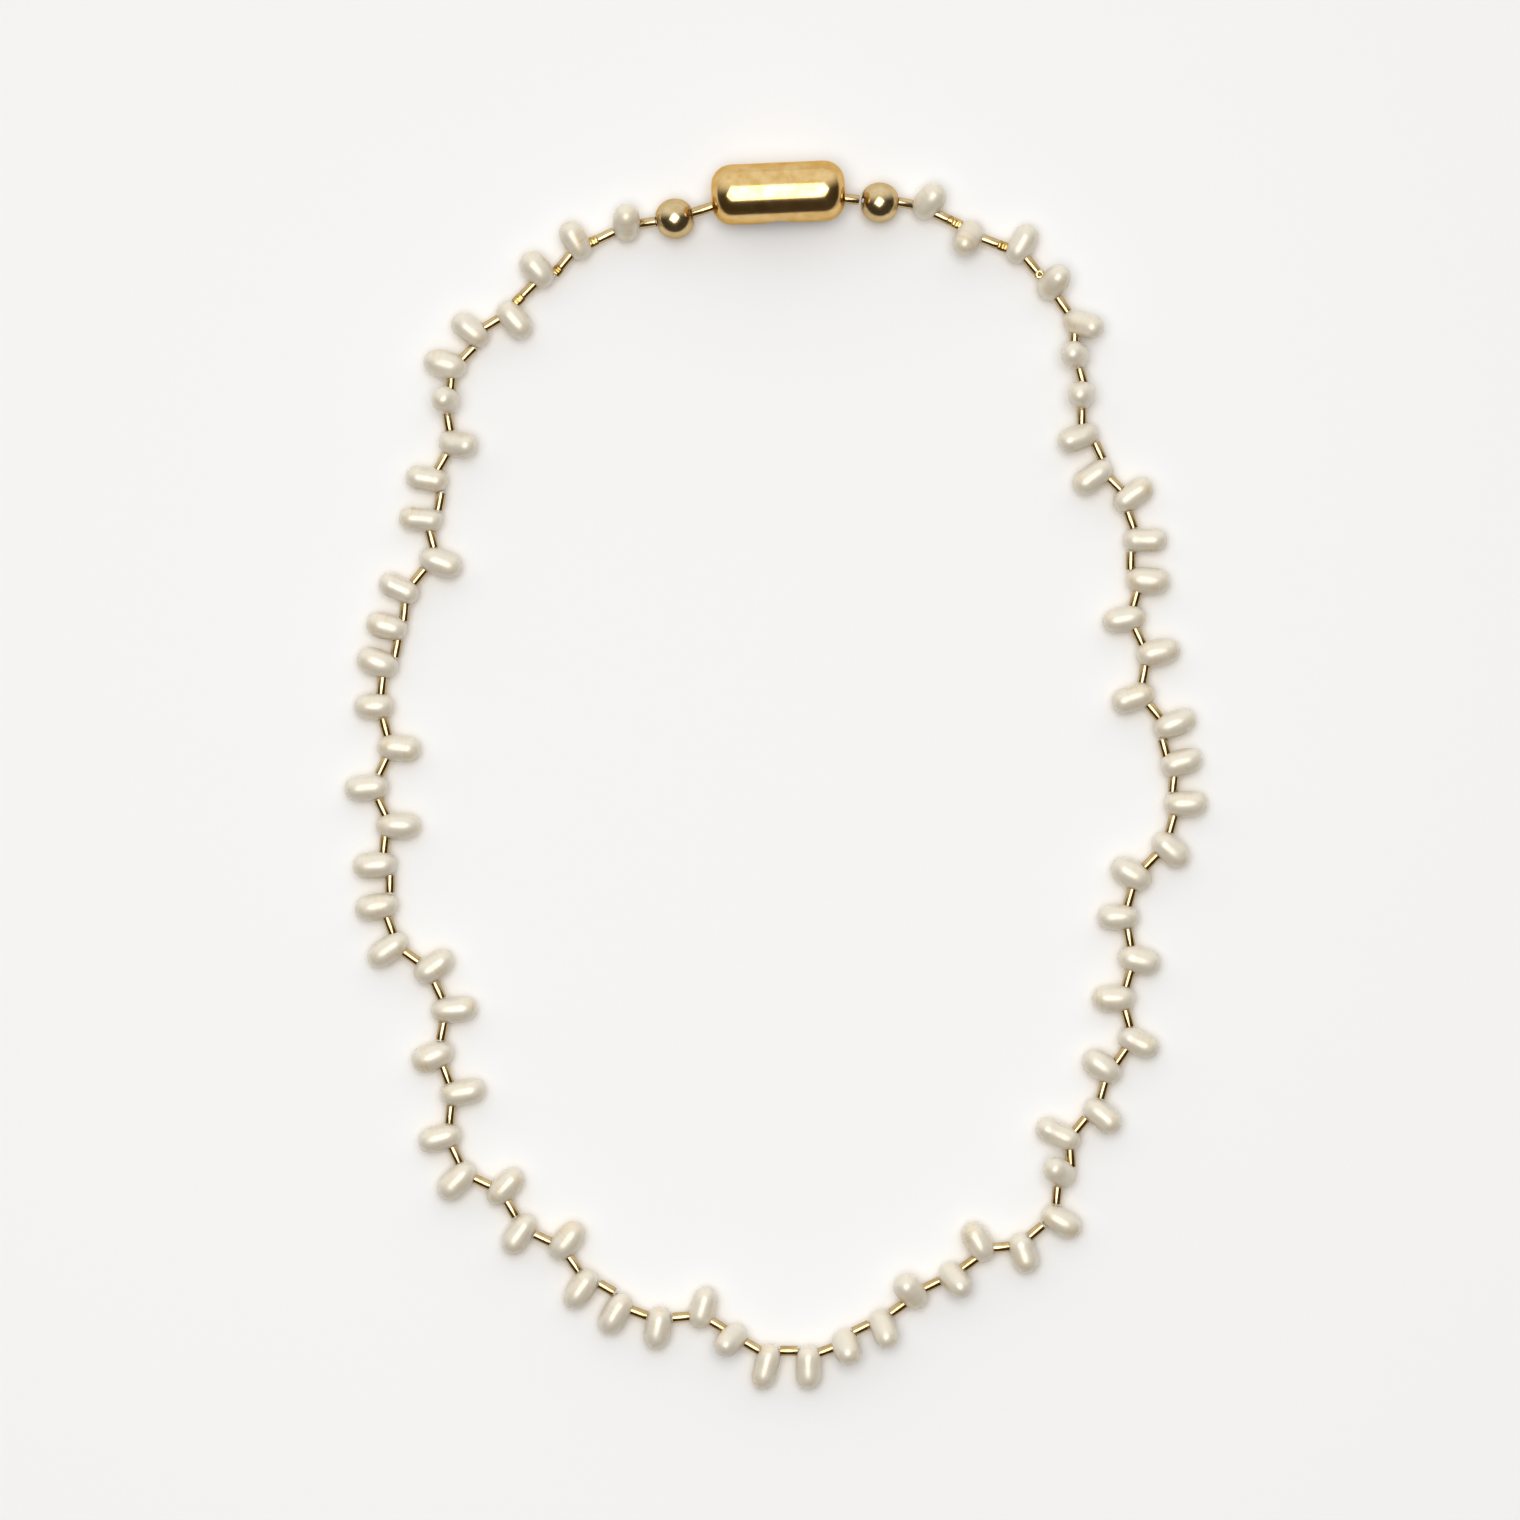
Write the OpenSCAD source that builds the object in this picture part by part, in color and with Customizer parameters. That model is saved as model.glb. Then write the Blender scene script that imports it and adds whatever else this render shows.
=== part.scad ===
// Freshwater pearl necklace, laid out flat as a closed loop.
// Each oval pearl is drilled across its narrow way, near one end, and hangs on a fine wire.
// A hollow gold tube keeps every two pearls apart. At the back the wire runs through a gold
// ball at each side into a ball-and-sleeve clasp.
// X is across the loop, Y runs from the front to the clasp, Z is up. The origin is on the
// surface that the necklace lies on, under the middle of the loop. Millimetres.

/* [Pearls] */
// Width of a pearl across its drill hole
pearl_w = 3.5; // [3.2:0.1:3.5]
// Spread of the widths, up or down from that
pearl_spread = 0.1; // [0:0.05:0.1]
// Width of the drill hole
drill_d = 0.8; // [0.7:0.05:0.9]

/* [Gold tubes] */
// Length of a tube between two pearls
tube_len = 2.2; // [1.9:0.05:2.25]
// Outer width of a tube
tube_d = 1.24; // [1.1:0.02:1.3]
// Bore of a tube
tube_bore = 0.8; // [0.6:0.05:0.85]

/* [Wire] */
// Width of the beading wire
wire_d = 0.4; // [0.3:0.05:0.45]

/* [Balls] */
// Width of each hollow ball
ball_d = 5; // [4.8:0.1:5]
// Wall of a ball
ball_wall = 0.3; // [0.2:0.05:0.4]
// Width of the two mouths of an outer ball
ball_mouth = 2.1; // [2:0.05:2.2]
// Width of the one mouth of an end ball
end_ball_mouth = 1; // [0.8:0.1:1.1]

/* [Clasp sleeve] */
// Length of the sleeve
sleeve_len = 16.6; // [16.4:0.1:17]
// Outer width of the sleeve
sleeve_d = 7.5; // [7.4:0.1:7.8]
// Wall of the sleeve
sleeve_wall = 0.4; // [0.3:0.05:0.45]
// Radius of the sleeve's shoulders
shoulder_r = 2.6; // [2.2:0.1:2.8]
// Width of the slot that a link runs in
slot_w = 1.7; // [1.6:0.05:1.8]
// Width of the round window that an end ball passes
window_d = 5.4; // [5.3:0.1:5.6]
// Turn of the slot from straight down, towards the front
slot_turn = 60; // [40:5:80]

/* [Hidden] */
$fn = 48;

// The stringing chart of the tubes, in order from the left ball round the front to the right
// ball: the place of a tube's middle, and the heading in degrees from +X that the wire has there.
TUBES = [
    [-16.0, 69.0, 188],
    [-21.2, 67.4, 205], [-26.2, 64.3, 230], [-30.8, 60.7, 225], [-35.4, 56.5, 210],
    [-38.4, 52.7, 225], [-40.5, 49.0, 265], [-40.8, 44.2, 280], [-41.6, 39.2, 240],
    [-41.9, 34.3, 260], [-42.9, 29.6, 285], [-44.5, 25.0, 230], [-46.3, 20.5, 265],
    [-47.3, 16.0, 260], [-49.1, 11.4, 265], [-48.7, 6.2, 285], [-49.0, 1.3, 245],
    [-49.1, -3.8, 295], [-48.8, -8.5, 265], [-48.1, -13.3, 270], [-48.1, -18.5, 290],
    [-45.5, -22.4, 325], [-42.1, -26.6, 295], [-41.6, -31.7, 260], [-41.1, -37.1, 290],
    [-40.6, -42.1, 265], [-39.9, -47.1, 295], [-36.6, -50.5, 335], [-33.0, -53.8, 300],
    [-29.1, -57.5, 335], [-25.2, -60.7, 305], [-21.1, -63.7, 330], [-17.1, -66.8, 340],
    [-11.8, -67.3, 5], [-7.3, -68.3, 330], [-2.9, -71.0, 330],
    [1.6, -71.5, 0],
    [6.4, -71.4, 20], [10.6, -68.7, 25], [15.2, -66.2, 35], [19.4, -63.3, 25],
    [24.1, -60.6, 35], [28.0, -58.6, 5], [32.4, -56.6, 40], [35.0, -52.1, 85],
    [36.7, -47.5, 95], [37.9, -43.4, 50], [40.7, -39.0, 75], [43.0, -34.8, 55],
    [43.8, -30.1, 105], [43.9, -25.1, 75], [44.0, -20.0, 100], [44.1, -15.0, 75],
    [46.7, -10.5, 45], [49.3, -5.9, 75], [49.5, -0.8, 85], [48.4, 3.6, 105],
    [47.1, 8.2, 130], [45.8, 12.8, 80], [45.2, 17.5, 115], [44.8, 22.3, 75],
    [44.2, 26.9, 90], [44.2, 32.0, 110], [42.2, 36.5, 135], [40.2, 40.6, 115],
    [38.1, 44.9, 90], [38.0, 50.1, 105], [37.2, 54.7, 90], [35.7, 58.8, 125],
    [31.8, 63.8, 130], [26.6, 66.7, 160], [20.4, 69.9, 155],
    [16.2, 71.4, 170]
];

// The stringing chart of the pearls, in the same order, one after each tube but the last: the
// heading from the drill hole to the pearl's middle, how far it tips up off the surface, the
// pearl's length, and the distance from its middle to its hole.
PEARLS = [
    [90, 40, 5.0, 0.8], [120, 10, 5.1, 1.2], [130, 5, 5.0, 1.5], [310, 0, 5.3, 1.4],
    [140, 0, 5.2, 1.5], [165, 0, 5.4, 1.5], [145, 75, 5.0, 1.5], [350, 15, 4.9, 1.3],
    [170, 0, 5.3, 1.6], [175, 0, 5.5, 1.6], [340, 0, 5.5, 1.5], [155, 0, 5.3, 1.4],
    [165, 0, 5.2, 1.8], [160, 0, 5.3, 1.5], [180, 0, 5.0, 1.0], [355, 0, 5.5, 1.5],
    [185, 0, 5.5, 1.5], [0, 0, 5.6, 1.6], [185, 0, 5.5, 1.5], [190, 0, 5.4, 1.5],
    [215, 0, 5.6, 1.6], [35, 0, 5.4, 1.2], [5, 0, 5.8, 1.4], [200, 0, 5.4, 1.2],
    [10, 0, 5.7, 1.6], [195, 0, 5.5, 1.4], [225, 0, 5.6, 1.8], [45, 0, 5.4, 1.2],
    [235, 0, 5.5, 1.3], [50, 0, 5.4, 1.4], [235, 0, 5.5, 1.8], [240, 0, 5.5, 1.8],
    [260, 0, 5.4, 1.4], [75, 0, 5.3, 1.4], [220, 50, 5.2, 1.2], [255, 0, 5.8, 2.0],
    [270, 0, 5.5, 1.9], [285, 45, 5.0, 1.3], [290, 30, 5.2, 1.5], [130, 25, 5.0, 0.8],
    [310, 35, 5.2, 1.0], [120, 0, 5.3, 1.6], [290, 0, 5.1, 1.5], [330, 0, 5.4, 1.7],
    [140, 50, 5.2, 1.4], [155, 0, 5.9, 1.9], [320, 10, 5.3, 1.5], [145, 0, 5.3, 1.3],
    [335, 0, 5.4, 1.4], [180, 0, 5.4, 1.5], [345, 0, 5.4, 1.1], [180, 0, 5.2, 1.2],
    [150, 0, 5.4, 1.1], [320, 0, 5.3, 1.2], [0, 0, 5.4, 1.5], [15, 0, 5.3, 1.4],
    [20, 0, 5.5, 1.8], [200, 0, 5.5, 1.6], [10, 0, 5.5, 1.8], [190, 0, 5.4, 1.3],
    [355, 0, 5.5, 1.7], [0, 0, 5.5, 1.6], [35, 0, 5.5, 1.3], [215, 0, 5.5, 1.9],
    [200, 10, 5.3, 1.4], [180, 80, 5.2, 1.3], [160, 75, 5.2, 1.3], [340, 20, 5.3, 1.7],
    [50, 40, 5.2, 1.0], [60, 0, 5.2, 1.3], [240, 40, 5.2, 1.2], [50, 25, 5.0, 1.2]
];
last_tube = len(TUBES) - 1;

// A run of the strand between two bends: its first and last pearl, and its first and last tube.
FRONT = [35, 38, 35, 37];
LEFT = [[30, 34, 30, 34], [25, 29, 25, 29], [20, 24, 20, 24], [15, 19, 15, 19],
        [10, 14, 10, 14], [5, 9, 5, 9], [1, 4, 0, 4]];
RIGHT = [[39, 43, 38, 42], [44, 48, 43, 47], [49, 53, 48, 52], [54, 58, 53, 57],
         [59, 63, 58, 62], [64, 68, 63, 67], [69, 72, 68, 72]];
// Pearls whose mouth towards the clasp holds the bend to the next run, on the left and right
LEFT_BENDS = [5, 10, 15, 20, 25, 30, 35];
RIGHT_BENDS = [38, 43, 48, 53, 58, 63, 68];

// Height of the wire over the surface, which is half the widest pearl
strand_z = (pearl_w + pearl_spread) / 2;
// The two tubes beside the outer balls climb to the mouths of the balls
climb = 12;
climb_z = tube_len / 2 * sin(climb) + 0.05;
// Room round a tube in the mouth of a pearl, and the deeper room at a bend
seat_gap = 0.05;
bend_gap = 0.22;
bend_side_gap = 0.16;
// Room between the ends of the wire at a bend, from knuckle middle to knuckle middle
wire_gap = 0.7;
// A bend in the wire
knuckle_d = 1.3 * wire_d;

// Crimp beads on the wire next to the tubes nearest to the clasp: tube number, length
CRIMPS_LEFT = [[1, 1.3], [2, 1.1], [3, 1.4]];
CRIMPS_RIGHT = [[69, 1.0], [70, 1.3], [71, 1.9]];
crimp_d = 1.3;
crimp_flat = 1.0;
crimp_bore = 0.5;
crimp_ring_len = 0.6;

// Clasp: middle of the sleeve, its turn from X, and the middles of the two outer balls
sleeve_mid = [0.25, 72.6, sleeve_d / 2];
sleeve_turn = 2.5;
left_ball_at = [-12.6, 69.5, ball_d / 2];
right_ball_at = [12.9, 71.5, ball_d / 2];
// An end ball lies off the middle of the sleeve, towards the slot, and this far along it
end_ball_off = 0.65;
end_ball_x = sleeve_len / 2 - sleeve_wall - ball_d / 2 - 0.1;
// A link tube keeps this far from the middle of the ball at each of its ends
link_in_ball = 2.3;
link_off_ball = ball_d / 2 + 0.15;
// Crimped stop on the end of the wire in an end ball
stop_d = 1.5;
stop_len = 1.2;

gold = [0.86, 0.74, 0.5];
rich_gold = [0.85, 0.68, 0.33];
nacre = [0.89, 0.86, 0.8];
steel = [0.72, 0.66, 0.52];

// ---------------------------------------------------------------- places on the strand

function towards(a, up = 0) = [cos(a) * cos(up), sin(a) * cos(up), sin(up)];
function unit(v) = v / norm(v);
function sum_for(list, i) = len([for (c = list) if (c[0] == i) c]) == 0
    ? 0 : [for (c = list) if (c[0] == i) c[1]][0];

function tube_climb(i) = i == 0 ? -climb : i == last_tube ? climb : 0;
function tube_mid(i) = [TUBES[i].x, TUBES[i].y, strand_z + (tube_climb(i) == 0 ? 0 : climb_z)];
function tube_way(i) = towards(TUBES[i].z, tube_climb(i));
function tube_start(i) = tube_mid(i) - tube_len / 2 * tube_way(i);
function tube_end(i) = tube_mid(i) + tube_len / 2 * tube_way(i);

// Where the wire bends, before and after a tube and the crimp beside it
function bend_before(i) = tube_start(i) - sum_for(CRIMPS_RIGHT, i) * tube_way(i);
function bend_after(i) = tube_end(i) + sum_for(CRIMPS_LEFT, i) * tube_way(i);

function pearl_in(p) = bend_after(p - 1);
function pearl_out(p) = bend_before(p);
function pearl_way(p) = towards(PEARLS[p - 1][0], PEARLS[p - 1][1]);
function pearl_mid(p) = (pearl_in(p) + pearl_out(p)) / 2 + PEARLS[p - 1][3] * pearl_way(p);
function pearl_width(p) = pearl_w + pearl_spread * sin(137 * p);

function holds(list, value) = len([for (v = list) if (v == value) v]) > 0;

// ---------------------------------------------------------------- shapes

module aim(way) {
    rotate([0, acos(way.z / norm(way)), atan2(way.y, way.x)]) children();
}

module rod(from, to, d) {
    translate(from) aim(to - from) cylinder(h = norm(to - from), d = d);
}

// A full oval: rounder at its shoulders than an ellipse
module oval(length, width) {
    full = 0.93;
    outline = [for (a = [-90:15:90]) [
        width / 2 * pow(max(cos(a), 0), full),
        length / 2 * sign(sin(a)) * pow(abs(sin(a)), full)
    ]];
    rotate_extrude() polygon(outline);
}

// Room for a tube's end in a pearl, from the bend outwards
module seat(at, way, depth, side) {
    translate(at - depth * way) aim(way) cylinder(h = tube_len, d = crimp_d + 2 * side);
}

module pearl(p) {
    at = pearl_in(p);
    to = pearl_out(p);
    bend_in = holds(LEFT_BENDS, p);
    bend_out = holds(RIGHT_BENDS, p);
    color(nacre)
    difference() {
        translate(pearl_mid(p)) aim(pearl_way(p)) oval(PEARLS[p - 1][2], pearl_width(p));
        rod(at + (at - to), to + (to - at), drill_d);
        seat(at, -tube_way(p - 1), bend_in ? bend_gap : seat_gap, bend_in ? bend_side_gap : seat_gap);
        seat(to, tube_way(p), bend_out ? bend_gap : seat_gap, bend_out ? bend_side_gap : seat_gap);
    }
}

module tube(from, to) {
    color(gold)
    difference() {
        rod(from, to, tube_d);
        rod(from - (to - from), to + (to - from), tube_bore);
    }
}

// Wire through a list of points, with a round knuckle where it bends. The straight lengths
// end inside the knuckles.
module wire_along(points) {
    color(steel)
    union() {
        for (k = [1:len(points) - 1]) {
            way = unit(points[k] - points[k - 1]);
            rod(points[k - 1] + wire_d / 4 * way, points[k] - wire_d / 4 * way, wire_d);
        }
        for (at = points) translate(at) cylinder(h = knuckle_d, d = knuckle_d, center = true);
    }
}

// A bead pressed flat on two sides
module crimp(from, way, length) {
    color(rich_gold)
    translate(from) aim(way)
    difference() {
        intersection() {
            cylinder(h = length, d = crimp_d);
            translate([-crimp_flat / 2, -crimp_d, 0]) cube([crimp_flat, 2 * crimp_d, length]);
        }
        translate([0, 0, -length]) cylinder(h = 3 * length, d = crimp_bore);
    }
}

module crimp_ring(from, way) {
    color(rich_gold)
    translate(from) aim(way)
    difference() {
        cylinder(h = crimp_ring_len, d = crimp_d);
        translate([0, 0, -1]) cylinder(h = 3, d = crimp_bore);
    }
}

// A hollow ball with a mouth at each end of its bore, or at one end only
module ball(at, way, mouth, both) {
    color(gold)
    translate(at) aim(way)
    difference() {
        sphere(d = ball_d);
        sphere(d = ball_d - 2 * ball_wall);
        cylinder(h = ball_d, d = mouth);
        if (both) translate([0, 0, -ball_d]) cylinder(h = ball_d, d = mouth);
    }
}

// ---------------------------------------------------------------- the strand, run by run

module pearls(run) {
    for (p = [run[0]:run[1]]) pearl(p);
}

module tubes(run) {
    for (i = [run[2]:run[3]]) tube(tube_start(i), tube_end(i));
}

// The wire of a run starts and ends at a bend. Where the run's own pearl is there, it stops
// short of the next run's wire end.
function wire_points(run) = [for (i = [run[2]:run[3]]) each [bend_before(i), bend_after(i)]];
function short_in(p) = pearl_in(p) + wire_gap * unit(pearl_out(p) - pearl_in(p));
function short_out(p) = pearl_out(p) + wire_gap * unit(pearl_in(p) - pearl_out(p));

module wire_front_run() {
    wire_along([short_in(FRONT[0]), each wire_points(FRONT), short_out(FRONT[1])]);
}

module wire_left_run(k) {
    run = LEFT[k - 1];
    if (k < len(LEFT)) wire_along([short_in(run[0]), each wire_points(run)]);
    else wire_along([left_ball_at - 0.8 * left_bore(), each wire_points(run)]);
}

module wire_right_run(k) {
    run = RIGHT[k - 1];
    if (k < len(RIGHT)) wire_along([each wire_points(run), short_out(run[1])]);
    else wire_along([each wire_points(run), right_ball_at, right_ball_at + 2 * right_link_way()]);
}

module crimps_left() {
    for (c = CRIMPS_LEFT) crimp(tube_end(c[0]) + 0.03 * tube_way(c[0]), tube_way(c[0]), c[1] - 0.06);
}

// The widest one has a plain ring beside it
module crimps_right() {
    for (c = CRIMPS_RIGHT) {
        way = -tube_way(c[0]);
        ring = c[1] > 1.5 ? crimp_ring_len + 0.05 : 0;
        if (ring > 0) crimp_ring(tube_start(c[0]) + 0.03 * way, way);
        crimp(tube_start(c[0]) + (ring + 0.03) * way, way, c[1] - ring - 0.06);
    }
}

// ---------------------------------------------------------------- the clasp

function turned(v) = [
    v.x * cos(sleeve_turn) - v.y * sin(sleeve_turn),
    v.x * sin(sleeve_turn) + v.y * cos(sleeve_turn),
    v.z
];
slot_way = turned([0, -sin(slot_turn), -cos(slot_turn)]);
left_end_at = sleeve_mid + turned([-end_ball_x, 0, 0]) + end_ball_off * slot_way;
right_end_at = sleeve_mid + turned([end_ball_x, 0, 0]) + end_ball_off * slot_way;
function left_link_way() = unit(left_end_at - left_ball_at);
function right_link_way() = unit(right_end_at - right_ball_at);
function left_bore() = unit(left_link_way() + unit(left_ball_at - tube_start(0)));
function right_bore() = unit(right_link_way() + unit(right_ball_at - tube_end(last_tube)));

module left_ball() {
    ball(left_ball_at, left_bore(), ball_mouth, true);
}

module right_ball() {
    ball(right_ball_at, right_bore(), ball_mouth, true);
}

module left_link_tube() {
    tube(left_ball_at + link_in_ball * left_link_way(), left_end_at - link_off_ball * left_link_way());
}

module right_link_tube() {
    tube(right_end_at - link_off_ball * right_link_way(),
         right_ball_at + link_off_ball * right_link_way());
}

module left_link_wire() {
    wire_along([left_ball_at, left_end_at - 0.2 * left_link_way()]);
}

module right_link_wire() {
    wire_along([right_end_at - 0.2 * right_link_way(), right_ball_at + 2.8 * right_link_way()]);
}

module left_end_ball() {
    ball(left_end_at, -left_link_way(), end_ball_mouth, false);
}

module right_end_ball() {
    ball(right_end_at, -right_link_way(), end_ball_mouth, false);
}

module wire_stop(at, way) {
    color(rich_gold)
    translate(at) aim(way)
    difference() {
        translate([0, 0, -stop_len / 2]) cylinder(h = stop_len, d = stop_d);
        translate([0, 0, -stop_len]) cylinder(h = 2 * stop_len, d = crimp_bore);
    }
}

module left_wire_stop() {
    wire_stop(left_end_at - 1.2 * left_link_way(), left_link_way());
}

module right_wire_stop() {
    wire_stop(right_end_at - 1.2 * right_link_way(), right_link_way());
}

// Half outline of a capsule with round shoulders, turned about its length
module capsule(length, d, r) {
    rotate([0, 90, 0])
    rotate_extrude()
    union() {
        translate([0, -length / 2]) square([d / 2 - r, length]);
        translate([0, -length / 2 + r]) square([d / 2, length - 2 * r]);
        for (side = [-1, 1])
            translate([d / 2 - r, side * (length / 2 - r)]) intersection() {
                circle(r);
                translate([0, -r]) square([r, 2 * r]);
            }
    }
}

// Rolled sleeve: a capsule shell with a slot along one side that opens into a hole at each
// end, and a round window halfway, which an end ball passes
module clasp_sleeve() {
    color(rich_gold)
    translate(sleeve_mid) rotate([0, 0, sleeve_turn]) rotate([-slot_turn, 0, 0])
    difference() {
        capsule(sleeve_len, sleeve_d, shoulder_r);
        capsule(sleeve_len - 2 * sleeve_wall, sleeve_d - 2 * sleeve_wall, shoulder_r - sleeve_wall);
        translate([-sleeve_len, -slot_w / 2, -sleeve_d]) cube([2 * sleeve_len, slot_w, sleeve_d - end_ball_off]);
        translate([-sleeve_len, 0, -end_ball_off]) rotate([0, 90, 0]) cylinder(h = 2 * sleeve_len, d = slot_w);
        translate([0, 0, -sleeve_d]) cylinder(h = sleeve_d, d = window_d);
    }
}

pearls(FRONT);  // pearls_front
tubes(FRONT);  // tubes_front
wire_front_run();  // wire_front
pearls(LEFT[0]);  // pearls_left_1
pearls(LEFT[1]);  // pearls_left_2
pearls(LEFT[2]);  // pearls_left_3
pearls(LEFT[3]);  // pearls_left_4
pearls(LEFT[4]);  // pearls_left_5
pearls(LEFT[5]);  // pearls_left_6
pearls(LEFT[6]);  // pearls_left_7
tubes(LEFT[0]);  // tubes_left_1
tubes(LEFT[1]);  // tubes_left_2
tubes(LEFT[2]);  // tubes_left_3
tubes(LEFT[3]);  // tubes_left_4
tubes(LEFT[4]);  // tubes_left_5
tubes(LEFT[5]);  // tubes_left_6
tubes(LEFT[6]);  // tubes_left_7
wire_left_run(1);  // wire_left_1
wire_left_run(2);  // wire_left_2
wire_left_run(3);  // wire_left_3
wire_left_run(4);  // wire_left_4
wire_left_run(5);  // wire_left_5
wire_left_run(6);  // wire_left_6
wire_left_run(7);  // wire_left_7
pearls(RIGHT[0]);  // pearls_right_1
pearls(RIGHT[1]);  // pearls_right_2
pearls(RIGHT[2]);  // pearls_right_3
pearls(RIGHT[3]);  // pearls_right_4
pearls(RIGHT[4]);  // pearls_right_5
pearls(RIGHT[5]);  // pearls_right_6
pearls(RIGHT[6]);  // pearls_right_7
tubes(RIGHT[0]);  // tubes_right_1
tubes(RIGHT[1]);  // tubes_right_2
tubes(RIGHT[2]);  // tubes_right_3
tubes(RIGHT[3]);  // tubes_right_4
tubes(RIGHT[4]);  // tubes_right_5
tubes(RIGHT[5]);  // tubes_right_6
tubes(RIGHT[6]);  // tubes_right_7
wire_right_run(1);  // wire_right_1
wire_right_run(2);  // wire_right_2
wire_right_run(3);  // wire_right_3
wire_right_run(4);  // wire_right_4
wire_right_run(5);  // wire_right_5
wire_right_run(6);  // wire_right_6
wire_right_run(7);  // wire_right_7
crimps_left();
crimps_right();
left_ball();
right_ball();
left_link_tube();
left_link_wire();
left_end_ball();
left_wire_stop();
right_link_tube();
right_link_wire();
right_end_ball();
right_wire_stop();
clasp_sleeve();
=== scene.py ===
"""The looks of a freshwater pearl necklace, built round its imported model.

Every pearl, tube, crimp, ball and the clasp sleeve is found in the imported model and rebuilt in
its place as a finished piece. All lengths are metres unless a name ends in _mm.
"""

import logging
import math
from dataclasses import dataclass, field
from enum import Enum
from functools import partial
from typing import Any

import bmesh
import bpy
import numpy as np
from mathutils import Matrix, Vector

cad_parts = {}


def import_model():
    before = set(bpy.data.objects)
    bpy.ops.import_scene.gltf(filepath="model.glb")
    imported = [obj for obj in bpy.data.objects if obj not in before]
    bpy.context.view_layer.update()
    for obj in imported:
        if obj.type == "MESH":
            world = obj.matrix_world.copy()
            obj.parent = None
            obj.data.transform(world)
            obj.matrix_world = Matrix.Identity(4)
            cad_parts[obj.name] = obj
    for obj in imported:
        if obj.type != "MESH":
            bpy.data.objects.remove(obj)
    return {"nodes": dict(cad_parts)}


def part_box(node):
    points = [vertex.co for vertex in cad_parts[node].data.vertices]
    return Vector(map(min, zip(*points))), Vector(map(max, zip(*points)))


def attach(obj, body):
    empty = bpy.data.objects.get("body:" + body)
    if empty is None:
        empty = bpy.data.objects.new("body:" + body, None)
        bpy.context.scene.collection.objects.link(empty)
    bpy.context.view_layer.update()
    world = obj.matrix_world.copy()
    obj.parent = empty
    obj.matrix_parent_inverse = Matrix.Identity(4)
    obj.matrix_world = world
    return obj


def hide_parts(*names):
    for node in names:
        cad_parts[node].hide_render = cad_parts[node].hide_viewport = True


log = logging.getLogger("necklace")
Array = np.ndarray
Socket = bpy.types.NodeSocket
Mesh = bpy.types.Mesh
Material = bpy.types.Material
Object = bpy.types.Object
MM = 0.001
CAD_NODES: dict[str, Object] = {}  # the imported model's objects by name, filled by main
SEAT_MM = 1.2  # the length of the bit that cuts a seat for a tube's end
OVAL_POWER = 2.15  # a pearl's outline is along^power + across^power = 1, a little fuller than 2
WAIST_SPREAD = 0.42  # how far a pearl's waist reaches, in half lengths


# ---------------------------------------------------------------------------- small tools


def linear(code: str) -> tuple[float, float, float, float]:
    """Turns an sRGB hex colour into the linear one that a shader wants.

    Args:
        code: the colour as "#RRGGBB".

    Returns:
        Red, green, blue and an alpha of 1, in linear light.
    """
    parts = [int(code[i : i + 2], 16) / 255 for i in (1, 3, 5)]
    red, green, blue = (c / 12.92 if c <= 0.04045 else ((c + 0.055) / 1.055) ** 2.4 for c in parts)
    return red, green, blue, 1.0


def add_node(tree: Any, kind: str, inputs: dict | None = None, **settings: Any) -> Any:
    """Adds a node to a tree, with its settings, values and links.

    Args:
        tree: a shader or geometry node tree.
        kind: the node's type name.
        inputs: for each input's name or number, a value, the socket that feeds it, or a node
            whose first output feeds it.
        **settings: properties of the node itself.

    Returns:
        The new node.
    """
    node = tree.nodes.new(kind)
    for name, value in settings.items():
        setattr(node, name, value)
    for key, value in (inputs or {}).items():
        value = value.outputs[0] if isinstance(value, bpy.types.Node) else value
        if isinstance(value, Socket):
            tree.links.new(value, node.inputs[key])
        else:
            node.inputs[key].default_value = value
    return node


def calc(tree: Any, operation: str, *values: Any) -> Socket:
    """Adds a math node.

    Args:
        tree: a shader or geometry node tree.
        operation: what the node works out.
        *values: its numbers, or the sockets that feed it, in order.

    Returns:
        The socket with the result.
    """
    return add_node(tree, "ShaderNodeMath", dict(enumerate(values)), operation=operation).outputs[0]


def unit(vector: Array) -> Array:
    """The vector at length 1."""
    return vector / np.linalg.norm(vector)


def frame_about(way: Array) -> Array:
    """Three axes as rows, the last along way and the second as near to straight up as it can be."""
    w = unit(np.asarray(way, float))
    up = np.array([0.0, 0.0, 1.0]) if abs(w[2]) < 0.9 else np.array([0.0, 1.0, 0.0])
    side = unit(np.cross(up, w))
    return np.array([side, np.cross(w, side), w])


def solids_of(node: str) -> list[Array]:
    """The separate solids of a CAD node.

    Args:
        node: the node's name.

    Returns:
        The corner points of each solid, one array each.
    """
    mesh = CAD_NODES[node].data
    co = np.zeros(len(mesh.vertices) * 3)
    mesh.vertices.foreach_get("co", co)
    mesh.calc_loop_triangles()
    tris = np.zeros(len(mesh.loop_triangles) * 3, np.int64)
    mesh.loop_triangles.foreach_get("vertices", tris)
    points, same = np.unique(np.round(co.reshape(-1, 3), 7), axis=0, return_inverse=True)
    tris = same.reshape(-1)[tris].reshape(-1, 3)
    label = np.arange(len(points))
    while True:
        before = label.copy()
        lowest = label[tris].min(axis=1)
        np.minimum.at(label, tris.ravel(), np.repeat(lowest, 3))
        label = label[label]
        if (label == before).all():
            break
    return [points[label == k] for k in np.unique(label)]


def middle_of(node: str) -> Array:
    """The middle of a CAD node's box."""
    low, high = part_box(node)
    return np.array((low + high) / 2)


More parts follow.
